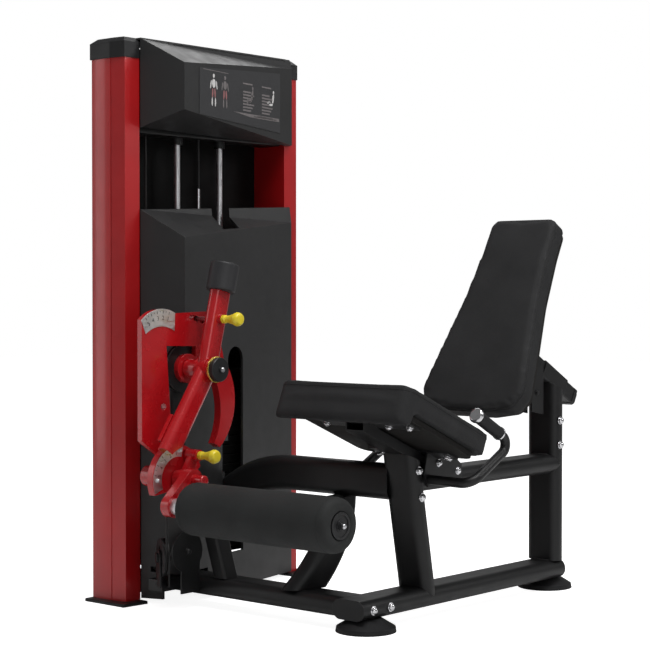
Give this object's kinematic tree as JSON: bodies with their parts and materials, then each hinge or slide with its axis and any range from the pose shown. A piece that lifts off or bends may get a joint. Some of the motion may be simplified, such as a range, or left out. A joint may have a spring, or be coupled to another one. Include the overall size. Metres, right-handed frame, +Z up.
{
  "type": "leg extension machine",
  "caption": "Selectorised leg extension machine: weight tower with a cable drive, swinging roller arm, sloped seat with side handles and a sliding backrest.",
  "frame": {"origin": "floor point under the centre of the whole machine's bounding box", "axes": "+Z up, +X from the weight tower towards the seat side, +Y from the knees towards the backrest"},
  "size_m": [1.0215, 1.2471, 1.5],
  "materials": {
    "column_red": "satin metallic red lacquer",
    "arm_red": "gloss red lacquer",
    "frame_black": "fine textured black powder coat",
    "shroud_grey": "fine textured dark grey",
    "cap_black": "matte black",
    "plate_iron": "black enamel",
    "bright_chrome": "polished",
    "rod_chrome": "hard chromed, polished along its length",
    "machined_steel": "turned, zinc plated",
    "pad_leather": "black synthetic leather with a fine grain",
    "board_wood": "plywood stained black",
    "knob_yellow": "yellow moulded knob",
    "cable_black": "black nylon coat on steel wire",
    "pulley_black": "black nylon",
    "scale_aluminium": "satin, printed",
    "rubber_black": "matte moulded",
    "placard_print": "printed sheet"
  },
  "bodies": {
    "frame": {"foot_plates": "frame_black", "column_front": "column_red", "column_rear": "column_red", "column_caps": "cap_black", "base_crossmember": "frame_black", "head_crossmember": "frame_black", "guide_rods": "rod_chrome", "stack_cushions": "rubber_black", "resting_plates": "plate_iron", "rear_cover": "shroud_grey", "top_shroud": "shroud_grey", "placard": "placard_print", "lower_shroud": "shroud_grey", "pulley_brackets": "frame_black", "lift_cable": "cable_black", "stem_cable": "cable_black", "main_beam": "frame_black", "base_beam": "frame_black", "front_post": "frame_black", "rear_post": "frame_black", "upper_tube": "frame_black", "frame_braces": "frame_black", "rubber_feet": "rubber_black", "seat_mount": "frame_black", "seat_board": "board_wood", "seat_pad": "pad_leather", "pivot_post": "frame_black", "pivot_shaft": "machined_steel", "back_sleeve": "frame_black", "handle_bars": "frame_black", "handle_grips": "rubber_black", "handle_caps": "bright_chrome", "frame_bolts": "bright_chrome"},
    "stack": {"lifted_plates": "plate_iron", "head_plate": "plate_iron", "selector_stem": "bright_chrome"},
    "selector": {"selector_pin": "knob_yellow"},
    "pulley_head_rear": {"head_pulley_rear": "pulley_black"},
    "pulley_head_front": {"head_pulley_front": "pulley_black"},
    "pulley_base_inner": {"base_pulley_inner": "pulley_black"},
    "pulley_base_outer": {"base_pulley_outer": "pulley_black"},
    "cam": {"cam_plate": "arm_red", "cable_drum": "machined_steel", "start_scale": "scale_aluminium"},
    "arm": {"swing_arm": "arm_red", "arm_weight": "arm_red", "hub_cap": "cap_black", "lever_sector": "arm_red", "lever_scale": "scale_aluminium"},
    "start_lock": {"start_pin": "knob_yellow"},
    "lever": {"pad_lever": "arm_red", "roller_axle": "rod_chrome"},
    "lever_lock": {"lever_pin": "knob_yellow"},
    "roller": {"roller_core": "pulley_black", "roller_pad": "pad_leather", "roller_cap": "cap_black"},
    "backrest": {"back_pad": "pad_leather", "back_board": "board_wood", "back_bar": "frame_black", "bar_end_cap": "cap_black"}
  },
  "joints": [
    {"name": "cam_swing", "type": "hinge", "parent": "frame", "child": "cam", "pos_m": [-0.21355, -0.39978, 0.629], "axis": [-1, 0, 0], "range_deg": [0, 95]},
    {"name": "start_adjust", "type": "hinge", "parent": "cam", "child": "arm", "pos_m": [-0.21355, -0.39978, 0.629], "axis": [-1, 0, 0], "range_deg": [0, 40]},
    {"name": "lever_adjust", "type": "hinge", "parent": "arm", "child": "lever", "pos_m": [-0.15155, -0.48778, 0.354], "axis": [-1, 0, 0], "range_deg": [0, 30]},
    {"name": "roller_spin", "type": "hinge", "parent": "lever", "child": "roller", "pos_m": [0.20545, -0.55378, 0.294], "axis": [1, 0, 0], "continuous": true},
    {"name": "start_pin_pull", "type": "slide", "parent": "arm", "child": "start_lock", "axis": [1, 0, 0], "range_m": [0, 0.012], "stiffness_N_per_m": 600, "springref_m": -0.004},
    {"name": "lever_pin_pull", "type": "slide", "parent": "lever", "child": "lever_lock", "axis": [1, 0, 0], "range_m": [0, 0.012], "stiffness_N_per_m": 600, "springref_m": -0.004},
    {"name": "stack_lift", "type": "slide", "parent": "frame", "child": "stack", "axis": [0, 0, 1], "range_m": [0, 0.0925], "deforming": ["stem_cable"]},
    {"name": "selector_pull", "type": "slide", "parent": "stack", "child": "selector", "axis": [1, 0, 0], "range_m": [0, 0.03]},
    {"name": "head_rear_turn", "type": "hinge", "parent": "frame", "child": "pulley_head_rear", "pos_m": [-0.44555, -0.16578, 1.4], "axis": [1, 0, 0], "range_deg": [0, 117]},
    {"name": "head_front_turn", "type": "hinge", "parent": "frame", "child": "pulley_head_front", "pos_m": [-0.44555, -0.27678, 1.4], "axis": [1, 0, 0], "range_deg": [0, 117]},
    {"name": "base_inner_turn", "type": "hinge", "parent": "frame", "child": "pulley_base_inner", "pos_m": [-0.40709, -0.34514, 0.136], "axis": [-0.5191, -0.8547, 0], "range_deg": [0, 117]},
    {"name": "base_outer_turn", "type": "hinge", "parent": "frame", "child": "pulley_base_outer", "pos_m": [-0.26501, -0.43142, 0.136], "axis": [-0.5191, -0.8547, 0], "range_deg": [0, 117]},
    {"name": "back_slide", "type": "slide", "parent": "frame", "child": "backrest", "axis": [0, 0.8788, -0.4772], "range_m": [-0.01, 0.1]}
  ],
  "couplings": [
    {"joint": "stack_lift", "follows": "cam_swing", "m_per_rad": 0.055},
    {"joint": "head_rear_turn", "follows": "cam_swing", "ratio": 1.2222},
    {"joint": "head_front_turn", "follows": "cam_swing", "ratio": 1.2222},
    {"joint": "base_inner_turn", "follows": "cam_swing", "ratio": 1.2222},
    {"joint": "base_outer_turn", "follows": "cam_swing", "ratio": 1.2222}
  ]
}
